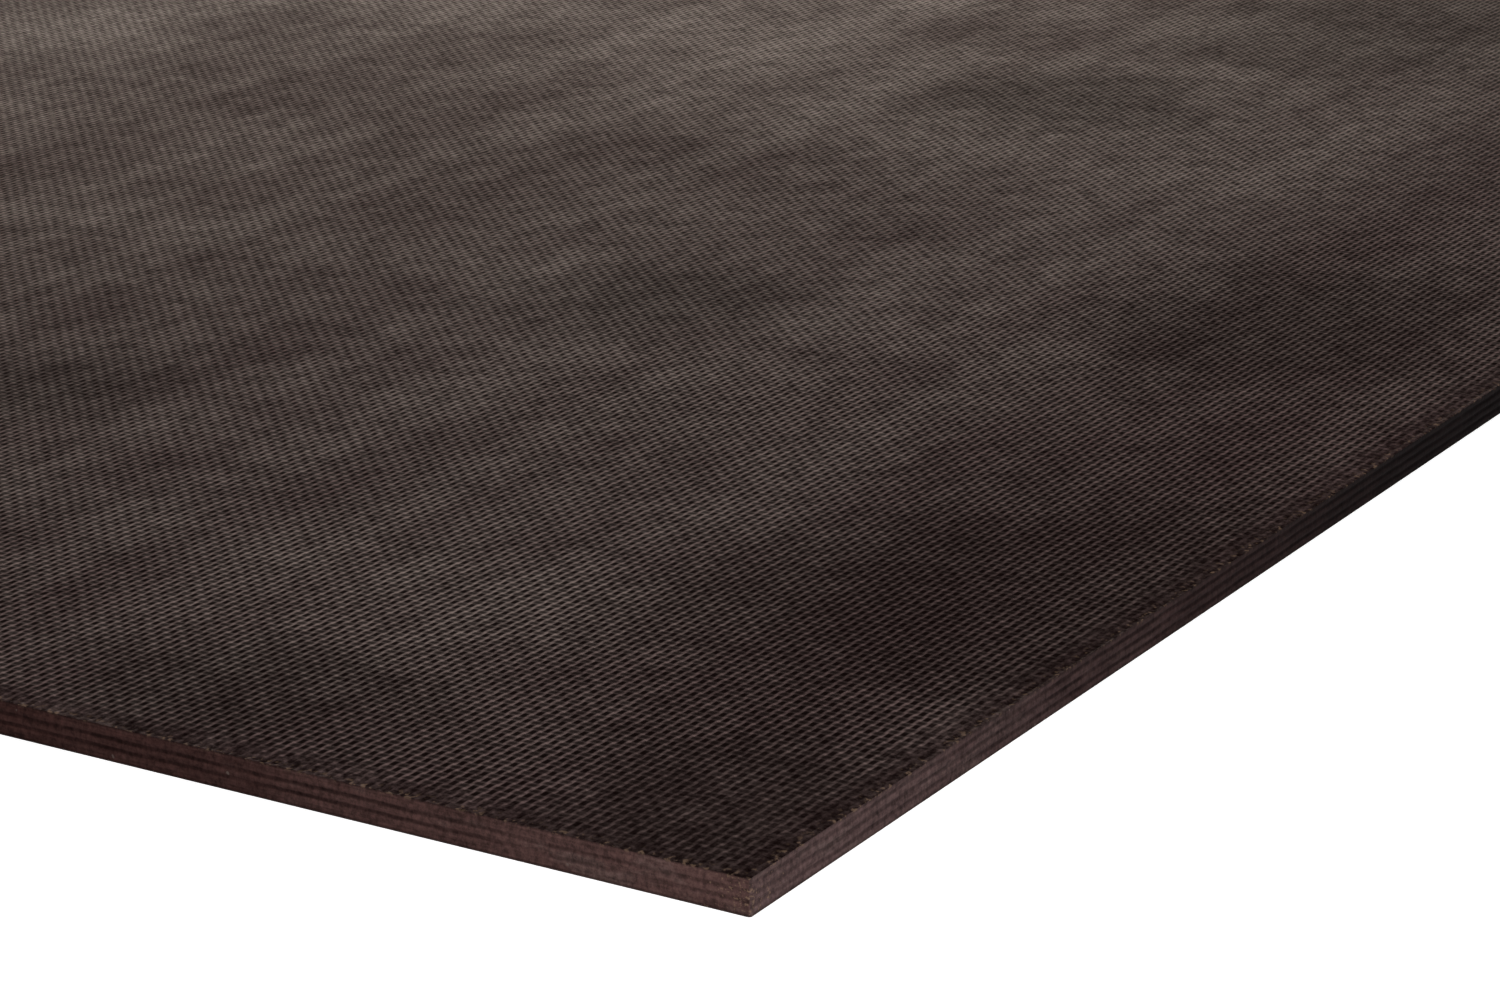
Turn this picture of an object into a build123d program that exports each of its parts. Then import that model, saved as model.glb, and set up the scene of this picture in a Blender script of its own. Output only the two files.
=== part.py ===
from build123d import *
import os

# A full sheet of film-faced birch plywood, 9 mm thick, lying flat with its anti-slip face up.
# Sizes are in millimetres. X runs across the sheet, Y along it and Z up, and the origin is
# the middle of the underside. The veneers are crossed in turn, and the outer ones run along Y.

sheet_length = 2500.0
sheet_width = 1250.0
sheet_thickness = 9.0

veneer_count = 7  # an odd number, so that both outer veneers run the same way
film_thickness = 0.3  # the hard resin film that is pressed onto each face
end_grain_depth = 0.12  # how far end grain shrinks back behind the saw cut
film_arris = 0.15  # the saw's sharp arris, taken off before the edges are painted
corner_radius = 0.8  # the corners as sanded by hand

veneer_thickness = (sheet_thickness - 2 * film_thickness) / veneer_count

with BuildPart() as plywood_sheet:
    # The film under the sheet, which the saw cuts at the full size
    with BuildSketch(Plane.XY):
        RectangleRounded(sheet_width, sheet_length, corner_radius)
    extrude(amount=film_thickness)

    # The veneers from the bottom up. Each stands back at the two edges that cut across its
    # grain: the ends of the sheet for the odd ones, which run along it, and its sides for
    # the even ones, which run across it.
    for veneer in range(veneer_count):
        runs_along_sheet = veneer % 2 == 0
        width_cut = 0 if runs_along_sheet else 2 * end_grain_depth
        length_cut = 2 * end_grain_depth if runs_along_sheet else 0
        underside = film_thickness + veneer * veneer_thickness
        with BuildSketch(Plane.XY.offset(underside)):
            RectangleRounded(sheet_width - width_cut, sheet_length - length_cut, corner_radius)
        extrude(amount=veneer_thickness)

    # The film on top, which carries the anti-slip pattern
    with BuildSketch(Plane.XY.offset(sheet_thickness - film_thickness)):
        RectangleRounded(sheet_width, sheet_length, corner_radius)
    extrude(amount=film_thickness)

    # Both arrises are eased all the way round
    by_height = plywood_sheet.edges().group_by(Axis.Z)
    chamfer(by_height[0] + by_height[-1], film_arris)

plywood_sheet.part.label = "plywood_sheet"

os.makedirs("parts", exist_ok=True)
export_step(plywood_sheet.part, "parts/plywood_sheet.step")
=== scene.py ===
import math

import bpy
from mathutils import Matrix, Vector


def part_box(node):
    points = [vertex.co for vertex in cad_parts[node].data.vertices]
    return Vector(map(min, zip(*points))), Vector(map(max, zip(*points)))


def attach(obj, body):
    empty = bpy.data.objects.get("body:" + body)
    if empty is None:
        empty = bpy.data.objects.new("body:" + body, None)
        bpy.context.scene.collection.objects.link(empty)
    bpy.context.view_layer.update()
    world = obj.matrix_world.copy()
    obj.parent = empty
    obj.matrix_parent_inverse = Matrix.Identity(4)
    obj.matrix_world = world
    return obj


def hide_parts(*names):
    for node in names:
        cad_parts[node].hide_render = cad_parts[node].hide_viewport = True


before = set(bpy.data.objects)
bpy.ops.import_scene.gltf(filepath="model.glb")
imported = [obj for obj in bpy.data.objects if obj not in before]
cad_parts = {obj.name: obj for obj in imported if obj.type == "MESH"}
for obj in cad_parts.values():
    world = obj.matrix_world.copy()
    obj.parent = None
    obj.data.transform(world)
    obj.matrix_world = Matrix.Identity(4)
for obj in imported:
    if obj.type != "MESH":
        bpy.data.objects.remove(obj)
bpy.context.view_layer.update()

# The face that shows is a sheet of brown phenolic resin film, cured in a hot press under a
# plain-woven wire cloth. Where one wire climbs over another it presses a short dimple, and
# the resin between the wires is left standing as small raised pads.

half_width, half_length, sheet_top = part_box("plywood_sheet")[1]
corner_radius = 0.0008
arc_steps = 4
film_thickness = 0.0003
film_arris = 0.0001

cloth_pitch_across = 0.002635
cloth_pitch_along = 0.002509
cloth_turn = math.radians(-0.51)
cloth_start = (-0.008, -0.115)
imprint_depth = 0.00024

# Only the rim of the face has the imprint in its mesh, so only the rim is divided finely.
rim_width = 0.0032
rim_rows = 5
columns_per_end = 1920
columns_per_side = 2 * columns_per_end
joining_grid = 1e7  # steps in a metre: points that round to the same step are one


def ring(inset, height, coarseness):
    """A loop of runs round the sheet, counter-clockwise, each a list of points with both its
    ends. Corners are arcs and sides are straight, divided more coarsely on request."""
    bend = max(corner_radius - inset, 0)
    across, along = half_width - inset - bend, half_length - inset - bend
    corners = [(across, -along), (across, along), (-across, along), (-across, -along)]
    runs = []
    for i, (x, y) in enumerate(corners):
        start = (i - 1) * math.pi / 2
        arc = []
        for k in range(arc_steps + 1):
            angle = start + k / arc_steps * math.pi / 2
            arc.append((x + bend * math.cos(angle), y + bend * math.sin(angle), height))
        start_x, start_y = arc[-1][0], arc[-1][1]
        after_x, after_y = corners[(i + 1) % 4]
        end_x, end_y = start_x + after_x - x, start_y + after_y - y
        steps = (columns_per_side if i % 2 == 0 else columns_per_end) // coarseness
        side = []
        for k in range(steps + 1):
            share = k / steps
            side.append((start_x + (end_x - start_x) * share,
                         start_y + (end_y - start_y) * share, height))
        runs += [arc, side]
    return runs


def flat_rings(height, steps_in):
    """Rings at one height, each with its inset and its coarseness, from the edge inwards."""
    return [(inset, height, coarseness) for inset, coarseness in steps_in]


def sheet_mesh(name, profile):
    """A closed slab the shape of the sheet. The profile is a list of rings, each an inset, a
    height and a coarseness, from the middle of its underside round to the middle of its top."""
    places, points, faces, loops = {}, [], [], []
    for inset, height, coarseness in profile:
        loop = []
        for run in ring(inset, height, coarseness):
            indices = []
            for point in run:
                key = tuple(round(c * joining_grid) for c in point)
                if key not in places:
                    places[key] = len(points)
                    points.append(point)
                indices.append(places[key])
            loop.append(indices)
        loops.append(loop)
    for lower, upper in zip(loops, loops[1:]):
        for low_run, high_run in zip(lower, upper):
            pieces = min(len(low_run), len(high_run)) - 1
            low_step, high_step = (len(low_run) - 1) // pieces, (len(high_run) - 1) // pieces
            for k in range(pieces):
                below = low_run[k * low_step:(k + 1) * low_step + 1]
                above = high_run[k * high_step:(k + 1) * high_step + 1]
                face = tuple(dict.fromkeys(below + above[::-1]))
                if len(face) > 2:
                    faces.append(face)
    for loop, order in ((loops[0], -1), (loops[-1], 1)):
        cap = list(dict.fromkeys(index for run in loop for index in run))
        faces.append(tuple(cap[::order]))
    mesh = bpy.data.meshes.new(name)
    mesh.from_pydata(points, [], faces)
    mesh.validate()
    mesh.update()
    piece = bpy.data.objects.new(name, mesh)
    bpy.context.scene.collection.objects.link(piece)
    return piece


def set_input(tree, socket, value):
    """Feeds a socket with a number, or with another node's output."""
    if isinstance(value, bpy.types.NodeSocket):
        tree.links.new(value, socket)
    else:
        socket.default_value = value


def calc(tree, operation, *values):
    """A maths node in a geometry or shader tree. Values are numbers or other nodes' outputs."""
    node = tree.nodes.new("ShaderNodeMath")
    node.operation = operation
    for socket, value in zip(node.inputs, values):
        set_input(tree, socket, value)
    return node.outputs[0]


def times(tree, product, *factors):
    """Two or more values multiplied."""
    for factor in factors:
        product = calc(tree, "MULTIPLY", product, factor)
    return product


def smooth_step(tree, value, start, end):
    """Rises smoothly from 0 to 1 as the value goes from start to end."""
    node = tree.nodes.new("ShaderNodeMapRange")
    node.interpolation_type = "SMOOTHSTEP"
    for socket, number in zip(node.inputs, (value, start, end, 0, 1)):
        set_input(tree, socket, number)
    return node.outputs[0]


def cloth_place(tree, x, y, pitch_across, pitch_along, turn):
    """Where a point of the face lies on the cloth, counted in wires from the sheet's corner."""
    from_x, from_y = calc(tree, "SUBTRACT", x, half_width), calc(tree, "ADD", y, half_length)
    cosine, sine = calc(tree, "COSINE", turn), calc(tree, "SINE", turn)
    turned_x = calc(tree, "ADD", times(tree, from_x, cosine), times(tree, from_y, sine))
    turned_y = calc(tree, "SUBTRACT", times(tree, from_y, cosine), times(tree, from_x, sine))
    u = calc(tree, "ADD", calc(tree, "DIVIDE", turned_x, pitch_across), cloth_start[0])
    v = calc(tree, "ADD", calc(tree, "DIVIDE", turned_y, pitch_along), cloth_start[1])
    return u, v


crown_flatness = 1.7  # the waves of the wires are this much higher, and cut flat at 1
wire_reach = 0.68  # a wire's dent has its whole depth where its rounded section is this high


def wire_lines(tree, u, v):
    """The wires along the sheet and those across it. Each pair says how high a wire runs at a
    place, from -1 under another wire to 1 over it, and how near it is, up to 1 on its middle."""
    lines = []
    for along, beside in ((v, u), (u, v)):
        crown = times(tree, calc(tree, "COSINE", times(tree, along, math.pi)),
                      calc(tree, "COSINE", times(tree, calc(tree, "ROUND", beside), math.pi)))
        crown = calc(tree, "MINIMUM", times(tree, crown, crown_flatness), 1)
        crown = calc(tree, "MAXIMUM", crown, -1)
        bell = calc(tree, "COSINE", times(tree, beside, math.pi))
        lines.append((crown, smooth_step(tree, times(tree, bell, bell), 0, wire_reach)))
    return lines


def resin_left(tree, lines, presses):
    """What the wires leave of the resin: 0 in the deepest dimple and 1 in mid-mesh. For each
    way of the wires, presses says how hard they press on average and how much more over others."""
    left = []
    for (crown, near), (mean, wave) in zip(lines, presses):
        pressed = times(tree, calc(tree, "MULTIPLY_ADD", crown, wave, mean), near)
        left.append(calc(tree, "SUBTRACT", 1, pressed))
    return calc(tree, "MAXIMUM", times(tree, *left), 0)


# The wires along the sheet press a whole groove, and those across it mostly where they climb
# over. Their polish reaches further than the pads, into the shallower dimples.
dimple_presses = ((0.84, 0.16), (0.45, -0.4))
polish_presses = ((0.28, 0.43), (0.22, -0.29))


def from_edges(tree, x, y):
    """How far a point of the sheet is from its nearer side and from its nearer end."""
    to_side = calc(tree, "SUBTRACT", half_width, calc(tree, "ABSOLUTE", x))
    to_end = calc(tree, "SUBTRACT", half_length, calc(tree, "ABSOLUTE", y))
    return to_side, to_end


def geometry_tree(name, sizes):
    """An empty geometry tree with a mesh input and a named input for each size and material."""
    tree = bpy.data.node_groups.new(name, "GeometryNodeTree")
    tree.interface.new_socket("Geometry", in_out="INPUT", socket_type="NodeSocketGeometry")
    for label in sizes:
        tree.interface.new_socket(label, in_out="INPUT", socket_type="NodeSocketFloat")
    for label in ("Face material", "Edge material"):
        tree.interface.new_socket(label, in_out="INPUT", socket_type="NodeSocketMaterial")
    tree.interface.new_socket("Geometry", in_out="OUTPUT", socket_type="NodeSocketGeometry")
    return tree, tree.nodes.new("NodeGroupInput").outputs, tree.nodes.new("NodeGroupOutput").inputs


def split_vector(tree, vector):
    """The x, y and z of a vector."""
    split = tree.nodes.new("ShaderNodeSeparateXYZ")
    tree.links.new(vector, split.inputs[0])
    return split.outputs


def moved_points(tree, geometry, shifts):
    """The geometry with its points moved by the given values along the named axes."""
    offset = tree.nodes.new("ShaderNodeCombineXYZ")
    for axis, shift in shifts.items():
        tree.links.new(shift, offset.inputs[axis])
    moved = tree.nodes.new("GeometryNodeSetPosition")
    tree.links.new(geometry, moved.inputs["Geometry"])
    tree.links.new(offset.outputs[0], moved.inputs["Offset"])
    return moved.outputs[0]


def finish_tree(tree, inputs, outputs, geometry, levelness):
    """Ends a tree: instances made real, then film on its faces, and the edge paint on those
    that stand up, whose normals have less than the given share of z in them."""
    normal = split_vector(tree, tree.nodes.new("GeometryNodeInputNormal").outputs[0])
    upright = calc(tree, "LESS_THAN", calc(tree, "ABSOLUTE", normal["Z"]), levelness)
    real = tree.nodes.new("GeometryNodeRealizeInstances")
    film = tree.nodes.new("GeometryNodeSetMaterial")
    paint = tree.nodes.new("GeometryNodeSetMaterial")
    tree.links.new(geometry, real.inputs[0])
    tree.links.new(real.outputs[0], film.inputs["Geometry"])
    tree.links.new(inputs["Face material"], film.inputs["Material"])
    tree.links.new(film.outputs[0], paint.inputs["Geometry"])
    tree.links.new(upright, paint.inputs["Selection"])
    tree.links.new(inputs["Edge material"], paint.inputs["Material"])
    tree.links.new(paint.outputs[0], outputs[0])


sharp_angle = math.radians(38)


def apply_tree(piece, tree, values):
    """Runs a tree on a piece with the named values and keeps the result as its plain mesh."""
    modifier = piece.modifiers.new(tree.name, "NODES")
    modifier.node_group = tree
    for item in tree.interface.items_tree:
        if item.in_out == "INPUT" and item.name in values:
            modifier[item.identifier] = values[item.name]
    depsgraph = bpy.context.evaluated_depsgraph_get()
    made = bpy.data.meshes.new_from_object(piece.evaluated_get(depsgraph))
    piece.modifiers.remove(modifier)
    piece.data = made
    made.name = piece.name
    made.shade_smooth()
    made.set_sharp_from_angle(angle=sharp_angle)


imprint_full = 0.6  # the share of the rim's width over which the imprint has its whole depth
pressed_above = sheet_top - 0.6 * film_thickness


def imprint_tree():
    """Presses the wire cloth into the rim of the film, where its arris and pits show in outline."""
    tree, inputs, outputs = geometry_tree(
        "Wire cloth imprint", ["Pitch across", "Pitch along", "Cloth turn", "Imprint depth", "Rim width"])
    x, y, z = split_vector(tree, tree.nodes.new("GeometryNodeInputPosition").outputs[0])
    wires = wire_lines(tree, *cloth_place(
        tree, x, y, inputs["Pitch across"], inputs["Pitch along"], inputs["Cloth turn"]))
    press = calc(tree, "SUBTRACT", 1, resin_left(tree, wires, dimple_presses))
    inward = calc(tree, "MINIMUM", *from_edges(tree, x, y))
    rim = smooth_step(tree, inward, inputs["Rim width"], times(tree, inputs["Rim width"], imprint_full))
    on_top = calc(tree, "GREATER_THAN", z, pressed_above)
    depth = times(tree, times(tree, press, rim), times(tree, on_top, inputs["Imprint depth"]))
    pressed = moved_points(tree, inputs["Geometry"], {"Z": times(tree, depth, -1)})
    finish_tree(tree, inputs, outputs, pressed, 0.5)
    return tree


def new_material(name):
    """A material with its tree and its Principled shader."""
    material = bpy.data.materials.new(name)
    material.use_nodes = True
    return material, material.node_tree, material.node_tree.nodes["Principled BSDF"]


def object_place(tree):
    """The object coordinates, which are metres in the sheet's own frame."""
    return tree.nodes.new("ShaderNodeTexCoord").outputs["Object"]


def noise(tree, coordinates, scale, detail=2.0, roughness=0.5, stretch=(1, 1, 1), seed=0.0):
    """Soft noise round 0.5. The scale is in waves a metre and the stretch lengthens them."""
    stretched = tree.nodes.new("ShaderNodeVectorMath")
    stretched.operation = "DIVIDE"
    stretched.inputs[1].default_value = stretch
    tree.links.new(coordinates, stretched.inputs[0])
    node = tree.nodes.new("ShaderNodeTexNoise")
    node.noise_dimensions = "4D"
    tree.links.new(stretched.outputs[0], node.inputs["Vector"])
    for label, value in (("W", seed), ("Scale", scale), ("Detail", detail), ("Roughness", roughness)):
        set_input(tree, node.inputs[label], value)
    return node.outputs[0]


def patches(tree, coordinates, scale, low, high, **kind):
    """A mask of patches, where soft noise rises from low to high."""
    return smooth_step(tree, noise(tree, coordinates, scale, **kind), low, high)


def wander(tree, coordinates, scale, reach, **kind):
    """Soft noise as a shift to either side, from -reach / 2 to reach / 2."""
    return calc(tree, "MULTIPLY_ADD", noise(tree, coordinates, scale, **kind), reach, -reach / 2)


def lessened(tree, mask, share):
    """A factor that is 1 where the mask is 0, and less by the share where the mask is 1."""
    return calc(tree, "MULTIPLY_ADD", mask, -share, 1)


def mix_colour(tree, factor, first, second):
    """Blends two colours, each a number triple or an output."""
    node = tree.nodes.new("ShaderNodeMix")
    node.data_type = "RGBA"
    tree.links.new(factor, node.inputs["Factor"])
    for socket, colour in zip([s for s in node.inputs if s.type == "RGBA"], (first, second)):
        set_input(tree, socket, (*colour, 1) if isinstance(colour, tuple) else colour)
    return [s for s in node.outputs if s.type == "RGBA"][0]


def relief(tree, shader, height):
    """Bumps a shader's surface by a height in metres."""
    bump = tree.nodes.new("ShaderNodeBump")
    bump.inputs["Strength"].default_value = 1
    bump.inputs["Distance"].default_value = 1
    tree.links.new(height, bump.inputs["Height"])
    tree.links.new(bump.outputs[0], shader.inputs["Normal"])


def shader_group(name, inputs, outputs):
    """A shader node group with a place and named numbers as its inputs, and its outputs."""
    tree = bpy.data.node_groups.new(name, "ShaderNodeTree")
    tree.interface.new_socket("Place", in_out="INPUT", socket_type="NodeSocketVector")
    for label in inputs:
        tree.interface.new_socket(label, in_out="INPUT", socket_type="NodeSocketFloat")
    for label in outputs:
        tree.interface.new_socket(label, in_out="OUTPUT", socket_type="NodeSocketFloat")
    return tree, tree.nodes.new("NodeGroupInput").outputs, tree.nodes.new("NodeGroupOutput").inputs


def use_group(tree, group, place, values):
    """Puts a group into a tree with the named values and returns its outputs."""
    node = tree.nodes.new("ShaderNodeGroup")
    node.node_tree = group
    tree.links.new(place, node.inputs["Place"])
    for label, value in values.items():
        node.inputs[label].default_value = value
    return node.outputs


streaks_across_share, streaks_along_share = 0.4, 0.6


def mottle_group():
    """Where the cured resin looks hazy: clouds, and faint streaks both ways from the press."""
    tree, inputs, outputs = shader_group("Resin mottle", ["Clouds", "Streaks"], ["Haze"])
    place = inputs["Place"]
    clouds = patches(tree, place, 6.5, 0.32, 0.68, detail=5, roughness=0.62, seed=3)
    along = patches(tree, place, 34, 0.35, 0.68, detail=4, roughness=0.7, stretch=(1, 16, 1), seed=5)
    across = patches(tree, place, 28, 0.35, 0.7, detail=4, roughness=0.7, stretch=(16, 1, 1), seed=9)
    streaks = calc(tree, "MULTIPLY_ADD", across, streaks_across_share,
                   times(tree, along, streaks_along_share))
    haze = calc(tree, "ADD", times(tree, clouds, inputs["Clouds"]),
                times(tree, streaks, inputs["Streaks"]))
    tree.links.new(haze, outputs["Haze"])
    return tree


def grain_group():
    """A fine dry grain, as a height in metres and as a mask of its flecks."""
    tree, inputs, outputs = shader_group("Fine grain", ["Scale", "Depth"], ["Height", "Flecks"])
    grain = noise(tree, inputs["Place"], inputs["Scale"], detail=3, roughness=0.6, seed=21)
    tree.links.new(times(tree, grain, inputs["Depth"]), outputs["Height"])
    tree.links.new(smooth_step(tree, grain, 0.55, 0.8), outputs["Flecks"])
    return tree


mottle, fine_grain = mottle_group(), grain_group()

spot_raggedness = 1.4
spot_edge, spot_middle = 1.35, 0.35


def soft_spots(tree, coordinates, spots):
    """A mask of ragged soft ovals, each with its middle x and y and its half sizes."""
    ragged = wander(tree, coordinates, 22, spot_raggedness, detail=3, roughness=0.6, seed=31)
    total = 0
    for x, y, reach_x, reach_y in spots:
        placed = tree.nodes.new("ShaderNodeMapping")
        placed.vector_type = "TEXTURE"
        placed.inputs["Location"].default_value = (x, y, sheet_top)
        placed.inputs["Scale"].default_value = (reach_x, reach_y, 1)
        tree.links.new(coordinates, placed.inputs["Vector"])
        far = tree.nodes.new("ShaderNodeVectorMath")
        far.operation = "LENGTH"
        tree.links.new(placed.outputs[0], far.inputs[0])
        outward = calc(tree, "ADD", far.outputs["Value"], ragged)
        total = calc(tree, "ADD", smooth_step(tree, outward, spot_edge, spot_middle), total)
    return calc(tree, "MINIMUM", total, 1)


# Handling leaves duller smudges and paler, chalky patches on the film: x, y and half sizes.
smudges = [(0.585, -1.08, 0.075, 0.11), (0.545, -0.82, 0.065, 0.08), (0.4, -0.4, 0.09, 0.12),
           (0.46, -1.215, 0.05, 0.03), (0.605, -1.225, 0.045, 0.06), (0.345, -0.58, 0.07, 0.06),
           (0.358, -0.889, 0.05, 0.05), (0.25, -1.05, 0.035, 0.04)]
chalky_patches = [(0.45, -1.15, 0.08, 0.06), (0.135, -0.52, 0.09, 0.06),
                  (-0.125, -0.65, 0.09, 0.05), (0.435, -0.63, 0.05, 0.06),
                  (0.425, -0.97, 0.06, 0.04)]
smudge_dullness, chalk_haze = 0.4, 0.35

# Mist from the edge spray lies on the face along its edges, and dust of it at the corners.
mist_edge, mist_middle, mist_raggedness = 0.011, 0.001, 0.02
dust_edge, dust_middle, dust_amount = 0.085, 0.025, 0.5
mist_dullness, mist_cover, mist_grit = 0.5, 0.6, 0.5

# The press polishes the film less near its sides. Every second diagonal of pads is made a little
# lighter and glossier, and the ones between a little darker and duller.
border_start, border_end, border_raggedness, border_dullness = 0.24, 0.04, 0.2, 0.55
even_wear, clumped_wear, fine_wear = 0.27, 0.42, 0.85
diagonal_alternation = 0.14

# Nearly black: the resin's own dark colour in the dimples, deepened by painted shade of the hollows.
pit_colour_with_shade = (0.005, 0.0022, 0.002)
pad_colour = (0.124, 0.075, 0.073)
haze_colour = (0.28, 0.213, 0.19)
ochre_wood = (0.23, 0.148, 0.1)
bared_edge, bared_full, bared_share = 0.0035, 0.0005, 0.5
pit_roughness, pad_smoothness, fleck_roughness = 0.95, 0.4, 0.1
least_gloss, hazed_gloss = 0.37, 0.5
coat_roughness, coat_index = 0.28, 1.5


def corner_dust(tree, to_side, to_end, ragged):
    """Paint dust that drifts onto the face at the corners, where two edges are sprayed."""
    squares = calc(tree, "MULTIPLY_ADD", to_side, to_side, times(tree, to_end, to_end))
    far = calc(tree, "SQRT", squares)
    return smooth_step(tree, calc(tree, "MULTIPLY_ADD", ragged, 2, far), dust_edge, dust_middle)


def film_material():
    """The patterned film: nearly black in the dimples, partly its own colour and partly painted shade,
    hazed and satin on the pads.
    """
    material, tree, shader = new_material("patterned_film")
    coordinates = object_place(tree)
    x, y = split_vector(tree, coordinates)[:2]
    to_side, to_end = from_edges(tree, x, y)
    inward = calc(tree, "MINIMUM", to_side, to_end)

    u, v = cloth_place(tree, x, y, cloth_pitch_across, cloth_pitch_along, cloth_turn)
    wires = wire_lines(tree, u, v)
    pads = resin_left(tree, wires, dimple_presses)
    polished = resin_left(tree, wires, polish_presses)
    diagonals = calc(tree, "COSINE", times(tree, calc(tree, "ADD", u, v), math.pi))

    mottled = use_group(tree, mottle, coordinates, {"Clouds": 0.45, "Streaks": 0.65})["Haze"]
    ragged = wander(tree, coordinates, 7, border_raggedness, detail=3, seed=25)
    border = smooth_step(tree, calc(tree, "ADD", to_side, ragged), border_start, border_end)
    border = lessened(tree, border, border_dullness)
    smudged = soft_spots(tree, coordinates, smudges)
    chalked = soft_spots(tree, coordinates, chalky_patches)
    haze = calc(tree, "MULTIPLY_ADD", chalked, chalk_haze, times(tree, mottled, border))

    ragged = wander(tree, coordinates, 110, mist_raggedness, detail=4, seed=41)
    mist = smooth_step(tree, calc(tree, "ADD", inward, ragged), mist_edge, mist_middle)
    dust = times(tree, corner_dust(tree, to_side, to_end, ragged), dust_amount)
    mist = calc(tree, "MAXIMUM", mist, dust)

    clumps = patches(tree, coordinates, 90, 0.3, 0.7, detail=4, roughness=0.65, seed=19)
    worn = patches(tree, coordinates, 520, 0.3, 0.7, detail=4, roughness=0.75, seed=17)
    wear = calc(tree, "MULTIPLY_ADD", clumps, clumped_wear, even_wear)
    wear = calc(tree, "MULTIPLY_ADD", worn, fine_wear, wear)
    dull = times(tree, lessened(tree, smudged, smudge_dullness), lessened(tree, mist, mist_dullness))
    wear = times(tree, wear, dull, lessened(tree, diagonals, diagonal_alternation))

    grit = times(tree, worn, mist, mist_grit)
    pads = calc(tree, "ADD", times(tree, pads, lessened(tree, mist, mist_cover)), grit)
    colour = mix_colour(tree, haze, pad_colour, haze_colour)
    # Painted shade: the dimples and grooves take the near-black pit colour, which stands in for the shade
    # in the hollows as well as the resin's own dark colour.
    colour = mix_colour(tree, times(tree, pads, wear), pit_colour_with_shade, colour)
    at_arris = smooth_step(tree, inward, bared_edge, bared_full)
    specks = patches(tree, coordinates, 650, 0.55, 0.65, detail=3, seed=65)
    colour = mix_colour(tree, times(tree, specks, at_arris, bared_share), colour, ochre_wood)
    tree.links.new(colour, shader.inputs["Base Color"])

    grain = use_group(tree, fine_grain, coordinates, {"Scale": 900, "Depth": 0.000012})
    roughness = calc(tree, "MULTIPLY_ADD", pads, -pad_smoothness, pit_roughness)
    roughness = calc(tree, "MULTIPLY_ADD", grain["Flecks"], fleck_roughness, roughness)
    tree.links.new(roughness, shader.inputs["Roughness"])
    shader.inputs["Specular IOR Level"].default_value = 0
    gloss = times(tree, polished, wear, border,
                  calc(tree, "MULTIPLY_ADD", mottled, hazed_gloss, least_gloss))
    tree.links.new(calc(tree, "MINIMUM", gloss, 1), shader.inputs["Coat Weight"])
    shader.inputs["Coat Roughness"].default_value = coat_roughness
    shader.inputs["Coat IOR"].default_value = coat_index

    # The rim has the imprint in its mesh, so the bump begins inside it.
    inside = smooth_step(tree, inward, imprint_full * rim_width, rim_width)
    relief(tree, shader, calc(tree, "MULTIPLY_ADD", times(tree, pads, inside), imprint_depth,
                              grain["Height"]))
    return material


veneer_count = 7
veneer_bottom, veneer_top = film_thickness, sheet_top - film_thickness
veneer_thickness = (veneer_top - veneer_bottom) / veneer_count

# A near-black colour used as painted shade on the sides, far from the corner.
side_shade_paint = (0.016, 0.009, 0.009)
dark_end_paint, dark_side_paint = (0.088, 0.038, 0.033), (0.076, 0.041, 0.039)
scuffed_end_paint, scuffed_side_paint = (0.2, 0.108, 0.098), (0.196, 0.121, 0.117)
pale_scrape, scrape_share = (0.3, 0.215, 0.195), 0.35
pale_speck, speck_share = (0.2, 0.16, 0.14), 0.5
chip_share, chips_kept_to_corner = 0.7, 9

band_waver = 0.0016
arris_start, arris_full = sheet_top - 0.001, sheet_top - 0.0004
# The lowest millimetre of the edge is darkened as a painted shadow where the sheet meets the floor.
foot_shadow_start, foot_shadow_full = 0.0009, 0.0003
scuff_raggedness = 0.14
plain_tone, end_grain_tone, arris_tone, foot_shadow_tone, scuffed_band_tone = 1.1, 0.62, 0.35, 0.35, 0.45
coarse_texture, saw_texture, streak_texture, even_texture = 0.8, 0.35, 0.4, 0.22


def band_mask(tree, coordinates, z, on_side):
    """The cut end grain: every second veneer at the ends and the others at the sides, in
    bands that waver with the saw, fade in patches and stop short of the outer veneers."""
    wavy = wander(tree, coordinates, 30, band_waver, detail=4, roughness=0.6, seed=51)
    height = calc(tree, "SUBTRACT", calc(tree, "ADD", z, wavy), veneer_bottom)
    layer = calc(tree, "DIVIDE", height, veneer_thickness)
    turn = times(tree, calc(tree, "SUBTRACT", layer, on_side), math.pi)
    bands = smooth_step(tree, calc(tree, "SINE", turn), -0.4, 0.95)
    from_middle = calc(tree, "ABSOLUTE", calc(tree, "SUBTRACT", layer, veneer_count / 2))
    outer = smooth_step(tree, from_middle, 2.4, 2.9)
    faded = patches(tree, coordinates, 55, 0.15, 0.6, detail=4, roughness=0.65, seed=53)
    return times(tree, bands, calc(tree, "SUBTRACT", 1, outer), faded)


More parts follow.
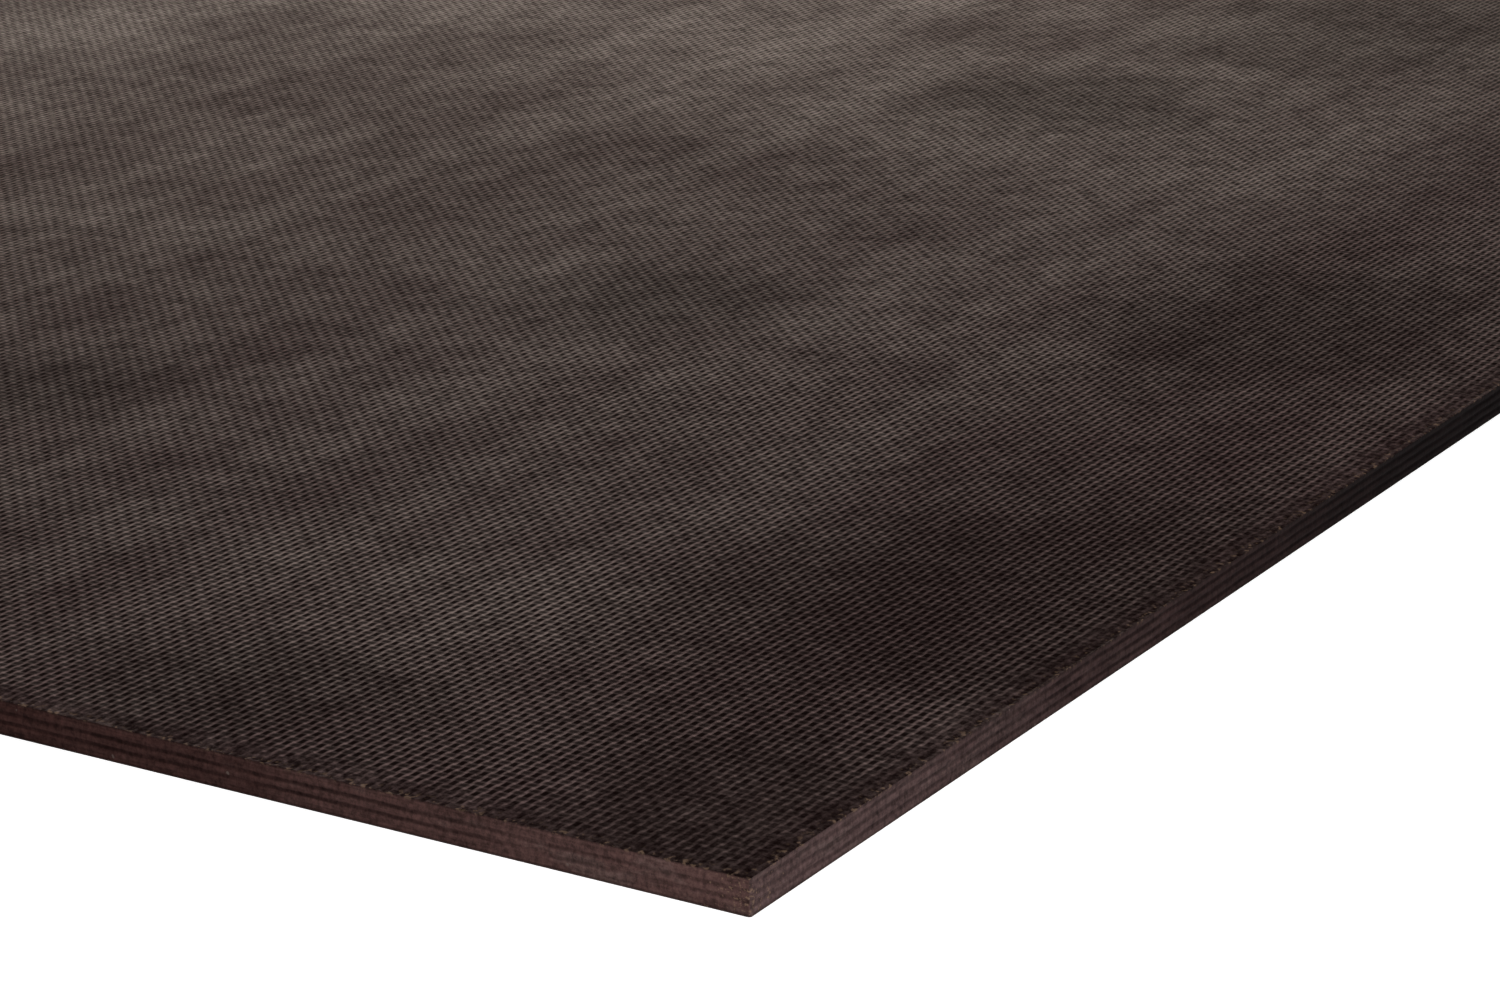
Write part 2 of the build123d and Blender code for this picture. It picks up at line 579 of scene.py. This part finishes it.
def edge_material():
    """The sealing paint on the sawn edges: drunk in by the end grain, scuffed paler near the
    corners, with the marks of the saw, a few pale specks and small ochre chips."""
    material, tree, shader = new_material("edge_paint")
    coordinates = object_place(tree)
    x, y, z = split_vector(tree, coordinates)
    to_side, to_end = from_edges(tree, x, y)
    on_side = calc(tree, "LESS_THAN", to_side, to_end)
    from_corner = calc(tree, "MAXIMUM", to_side, to_end)
    ragged = wander(tree, coordinates, 38, scuff_raggedness, detail=4, roughness=0.6, seed=8)
    from_corner_ragged = calc(tree, "ADD", from_corner, ragged)

    scuffed = smooth_step(tree, from_corner_ragged, 0.2, -0.02)
    scuffed_bands = smooth_step(tree, from_corner_ragged, 0.11, -0.01)
    # Painted shade: the sides darken from 0.13 m to 0.36 m out from the corner, where less light falls on
    # them.
    side_shade = times(tree, smooth_step(tree, from_corner_ragged, 0.13, 0.36), on_side)
    scuffed_paint = mix_colour(tree, on_side, scuffed_end_paint, scuffed_side_paint)
    dark_paint = mix_colour(tree, on_side, dark_end_paint, dark_side_paint)
    colour = mix_colour(tree, scuffed, dark_paint, scuffed_paint)
    colour = mix_colour(tree, side_shade, colour, side_shade_paint)
    scrapes = patches(tree, coordinates, 130, 0.5, 0.62, detail=5, roughness=0.65,
                      stretch=(3, 3, 1), seed=67)
    colour = mix_colour(tree, times(tree, scrapes, scuffed, scrape_share), colour, pale_scrape)

    saw_marks = noise(tree, coordinates, 900, detail=4, roughness=0.7, stretch=(1, 1, 4), seed=55)
    streaks = patches(tree, coordinates, 900, 0.3, 0.7, detail=3, roughness=0.6,
                      stretch=(16, 16, 1), seed=59)
    coarse = patches(tree, coordinates, 600, 0.32, 0.68, detail=4, roughness=0.75, seed=57)
    texture = calc(tree, "MULTIPLY_ADD", coarse, coarse_texture, even_texture)
    texture = calc(tree, "MULTIPLY_ADD", smooth_step(tree, saw_marks, 0.3, 0.7), saw_texture, texture)
    texture = calc(tree, "MULTIPLY_ADD", streaks, streak_texture, texture)

    end_grain = times(tree, band_mask(tree, coordinates, z, on_side),
                      lessened(tree, scuffed_bands, scuffed_band_tone))
    arris = smooth_step(tree, z, arris_start, arris_full)
    # Painted shadow: the edge darkens towards its bottom, where it stands on the floor.
    foot_shadow = smooth_step(tree, z, foot_shadow_start, foot_shadow_full)
    tone = calc(tree, "MULTIPLY_ADD", end_grain, -end_grain_tone, plain_tone)
    tone = times(tree, tone, lessened(tree, arris, arris_tone), lessened(tree, foot_shadow, foot_shadow_tone), texture)
    # The blend towards black takes a factor up to 1, so the tone is halved for it.
    colour = mix_colour(tree, times(tree, tone, 0.5), (0, 0, 0), colour)

    specks = patches(tree, coordinates, 330, 0.76, 0.8, detail=1, seed=61)
    colour = mix_colour(tree, times(tree, specks, speck_share), colour, pale_speck)
    chips = calc(tree, "MULTIPLY_ADD", from_corner, -chips_kept_to_corner,
                 noise(tree, coordinates, 1300, detail=3, seed=63))
    chips = smooth_step(tree, chips, 0.54, 0.6)
    arris_specks = patches(tree, coordinates, 650, 0.54, 0.62, detail=3, seed=65)
    arris_wear = times(tree, arris, calc(tree, "MULTIPLY_ADD", scuffed, 0.7, 0.2))
    arris_chips = times(tree, arris_specks, arris_wear)
    chips = calc(tree, "MAXIMUM", chips, arris_chips)
    colour = mix_colour(tree, times(tree, chips, chip_share), colour, ochre_wood)
    tree.links.new(colour, shader.inputs["Base Color"])

    tree.links.new(calc(tree, "MULTIPLY_ADD", end_grain, 0.15, 0.6), shader.inputs["Roughness"])
    shader.inputs["Specular IOR Level"].default_value = 0.03
    grain = use_group(tree, fine_grain, coordinates, {"Scale": 1100, "Depth": 0.00006})
    relief(tree, shader, calc(tree, "MULTIPLY_ADD", saw_marks, 0.0001, grain["Height"]))
    return material


film_face, edge_paint = film_material(), edge_material()
film_underside = sheet_top - film_thickness
film_steps_in = ((rim_width + 0.005, 8), (rim_width + 0.045, 64))
profile = flat_rings(film_underside, film_steps_in)[::-1]
profile += [(0, film_underside, 1), (0, sheet_top - film_arris, 1), (film_arris, sheet_top, 1)]
profile += [(rim_width * (row + 1) / rim_rows, sheet_top, 1) for row in range(rim_rows)]
profile += flat_rings(sheet_top, film_steps_in)
patterned_film = sheet_mesh("patterned_film", profile)
apply_tree(patterned_film, imprint_tree(), {
    "Pitch across": cloth_pitch_across, "Pitch along": cloth_pitch_along, "Cloth turn": cloth_turn,
    "Imprint depth": imprint_depth, "Rim width": rim_width,
    "Face material": film_face, "Edge material": edge_paint})
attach(patterned_film, "root")
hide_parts("plywood_sheet")

# Seven birch veneers, each laid across the one below and glued, make the body of the sheet.
# The saw cuts every second one across its grain at the ends and the others at the sides, and
# that end grain drinks the sealing paint and stands back a little.

end_grain_depth = 0.00012
saw_waver = 0.00004


def veneer_tree():
    """Sets the cut end grain of each veneer back from the saw's line."""
    tree, inputs, outputs = geometry_tree(
        "Sawn veneers", ["Veneer thickness", "End grain depth", "Waver"])
    position = tree.nodes.new("GeometryNodeInputPosition").outputs[0]
    x, y, z = split_vector(tree, position)
    height = calc(tree, "SUBTRACT", z, veneer_bottom)
    layer = calc(tree, "FLOOR", calc(tree, "DIVIDE", height, inputs["Veneer thickness"]))
    even = calc(tree, "SUBTRACT", 1, calc(tree, "MODULO", layer, 2))
    odd = calc(tree, "SUBTRACT", 1, even)
    shifts = {}
    for axis, along, half, is_end_grain in (("X", x, half_width, odd), ("Y", y, half_length, even)):
        near = smooth_step(tree, calc(tree, "ABSOLUTE", along), half - corner_radius, half)
        waver = times(tree, noise(tree, position, 90, detail=3, stretch=(1, 1, 0.1)), inputs["Waver"])
        sink = calc(tree, "ADD", times(tree, is_end_grain, inputs["End grain depth"]), waver)
        inward = times(tree, calc(tree, "SIGN", along), -1)
        shifts[axis] = times(tree, times(tree, sink, near), inward)
    finish_tree(tree, inputs, outputs, moved_points(tree, inputs["Geometry"], shifts), 0.95)
    return tree


body_steps_in = ((0, 2), (0.008, 16), (0.06, 128))
profile = flat_rings(veneer_bottom, body_steps_in)[::-1]
for veneer in range(veneer_count):
    for share in (0.15, 0.85):  # between these the cut is flat, and the steps lie between veneers
        profile.append((0, veneer_bottom + (veneer + share) * veneer_thickness, 2))
profile += flat_rings(veneer_top, body_steps_in)
veneers = sheet_mesh("veneers", profile)
apply_tree(veneers, veneer_tree(), {
    "Veneer thickness": veneer_thickness, "End grain depth": end_grain_depth, "Waver": saw_waver,
    "Face material": edge_paint, "Edge material": edge_paint})
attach(veneers, "root")
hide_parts("plywood_sheet")

# The underside has the same resin film, pressed against a polished plate, so it is smooth.
# It is glued to the lowest veneer, and its edge is sawn and painted with the rest.

smooth_colour = (0.024, 0.0125, 0.0115)
hazed_colour = (0.06, 0.043, 0.038)
fleck_colour = (0.07, 0.05, 0.045)
fleck_share = 0.35
polished_roughness, haze_roughness, rubbed_roughness = 0.22, 0.15, 0.25
rub_depth = 0.00002


def smooth_film_material():
    """The smooth film below: glossier than the patterned one, with fine rubbed grain and haze."""
    material, tree, shader = new_material("smooth_film")
    coordinates = object_place(tree)
    haze = use_group(tree, mottle, coordinates, {"Clouds": 0.6, "Streaks": 0.5})["Haze"]
    grain = use_group(tree, fine_grain, coordinates, {"Scale": 420, "Depth": 0.000015})
    rubbed = noise(tree, coordinates, 60, detail=4, roughness=0.65, stretch=(1, 9, 1), seed=71)
    colour = mix_colour(tree, haze, smooth_colour, hazed_colour)
    colour = mix_colour(tree, times(tree, grain["Flecks"], fleck_share), colour, fleck_colour)
    tree.links.new(colour, shader.inputs["Base Color"])
    roughness = calc(tree, "MULTIPLY_ADD", haze, haze_roughness, polished_roughness)
    roughness = calc(tree, "MULTIPLY_ADD", rubbed, rubbed_roughness, roughness)
    tree.links.new(roughness, shader.inputs["Roughness"])
    relief(tree, shader, calc(tree, "MULTIPLY_ADD", rubbed, rub_depth, grain["Height"]))
    return material


profile = flat_rings(0, body_steps_in[1:])[::-1] + [(film_arris, 0, 2), (0, film_arris, 2)]
profile += flat_rings(film_thickness, body_steps_in)
smooth_film = sheet_mesh("smooth_film", profile)
smooth_film.data.materials.append(smooth_film_material())
smooth_film.data.materials.append(edge_paint)
for face in smooth_film.data.polygons:
    face.material_index = int(abs(face.normal.z) < 0.9)
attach(smooth_film, "root")
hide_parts("plywood_sheet")

# The studio has a white floor that keeps the shadow, three large soft lamps for the light and
# one for the sheen from behind, and the camera, which looks at one corner of the sheet.

lit_spot, lit_reach, unlit_reach = (0.6, -1.0, 0), 0.3, 3.2
lit_glow, unlit_glow = 0.62, 1.0
floor_reach = 60


def studio_material():
    """A pale floor. To the camera it also glows, the more so the further it is from the lamps'
    light, so that it is white all the way out and still shows the shadow at the sheet's edges."""
    material, tree, shader = new_material("studio_white")
    shader.inputs["Base Color"].default_value = (0.8, 0.8, 0.8, 1)
    shader.inputs["Roughness"].default_value = 0.9
    shader.inputs["Specular IOR Level"].default_value = 0
    from_lit_spot = tree.nodes.new("ShaderNodeVectorMath")
    from_lit_spot.operation = "DISTANCE"
    from_lit_spot.inputs[1].default_value = lit_spot
    tree.links.new(object_place(tree), from_lit_spot.inputs[0])
    unlit = smooth_step(tree, from_lit_spot.outputs["Value"], lit_reach, unlit_reach)
    to_camera = tree.nodes.new("ShaderNodeLightPath").outputs["Is Camera Ray"]
    strength = calc(tree, "MULTIPLY_ADD", unlit, unlit_glow - lit_glow, lit_glow)
    glow = tree.nodes.new("ShaderNodeEmission")
    tree.links.new(times(tree, to_camera, strength), glow.inputs["Strength"])
    both = tree.nodes.new("ShaderNodeAddShader")
    tree.links.new(shader.outputs[0], both.inputs[0])
    tree.links.new(glow.outputs[0], both.inputs[1])
    tree.links.new(both.outputs[0], tree.nodes["Material Output"].inputs["Surface"])
    return material


floor_mesh = bpy.data.meshes.new("floor")
floor_mesh.from_pydata([(-floor_reach, -floor_reach, 0), (floor_reach, -floor_reach, 0),
                        (floor_reach, floor_reach, 0), (-floor_reach, floor_reach, 0)],
                       [], [(0, 1, 2, 3)])
floor_mesh.materials.append(studio_material())
floor = bpy.data.objects.new("floor", floor_mesh)
bpy.context.scene.collection.objects.link(floor)

# The world is white to the camera and gives the object only a trace of light.
world_light = 0.03
world = bpy.context.scene.world or bpy.data.worlds.new("studio")
bpy.context.scene.world = world
world.use_nodes = True
world_tree = world.node_tree
background = world_tree.nodes["Background"]
background.inputs["Color"].default_value = (1, 1, 1, 1)
to_camera = world_tree.nodes.new("ShaderNodeLightPath").outputs["Is Camera Ray"]
strength = calc(world_tree, "MULTIPLY_ADD", to_camera, 1 - world_light, world_light)
world_tree.links.new(strength, background.inputs["Strength"])


def softbox(name, place, target, size, power, colour=(1, 1, 1)):
    """A large soft lamp that the camera doesn't see."""
    lamp = bpy.data.lights.new(name, "AREA")
    lamp.shape = "RECTANGLE"
    lamp.size, lamp.size_y = size
    lamp.energy = power
    lamp.color = colour
    box = bpy.data.objects.new(name, lamp)
    box.location = place
    box.rotation_euler = (Vector(target) - Vector(place)).to_track_quat("-Z", "Y").to_euler()
    bpy.context.scene.collection.objects.link(box)
    box.visible_camera = False
    return box


softbox("back_softbox", (-4.0, 6.0, 0.4), (0.2, -0.8, 0), (6.0, 0.6), 103, (1.0, 0.84, 0.71))
front_softbox = softbox("front_softbox", (2.05, -2.3, 1.5), (0.5, -1.1, 0), (1.4, 1.4), 42.5)
front_softbox.visible_glossy = False
sheen_softbox = softbox("sheen_softbox", (5.0, -5.2, 1.9), (0, 0, 0), (8.0, 3.0), 30)
sheen_softbox.visible_diffuse = False
softbox("top_softbox", (0, -0.2, 3.0), (0, -0.2, 0), (3.0, 3.0), 42)

camera_place = (1.02896, -1.85869, 0.33372)
camera_right = Vector((0.8393, 0.5418, -0.0274)).normalized()
camera_ahead = Vector((-0.5227, 0.7927, -0.3157)).normalized()
camera_up = camera_right.cross(camera_ahead)
camera_data = bpy.data.cameras.new("camera")
camera_data.lens = 93.06
camera_data.sensor_width = 36
camera_data.clip_start, camera_data.clip_end = 0.05, 200
camera = bpy.data.objects.new("camera", camera_data)
bpy.context.scene.collection.objects.link(camera)
bpy.context.scene.camera = camera
camera.matrix_world = Matrix.Translation(camera_place) @ Matrix(
    (camera_right, camera_up, -camera_ahead)).transposed().to_4x4()

bpy.context.scene.view_settings.view_transform = "Standard"
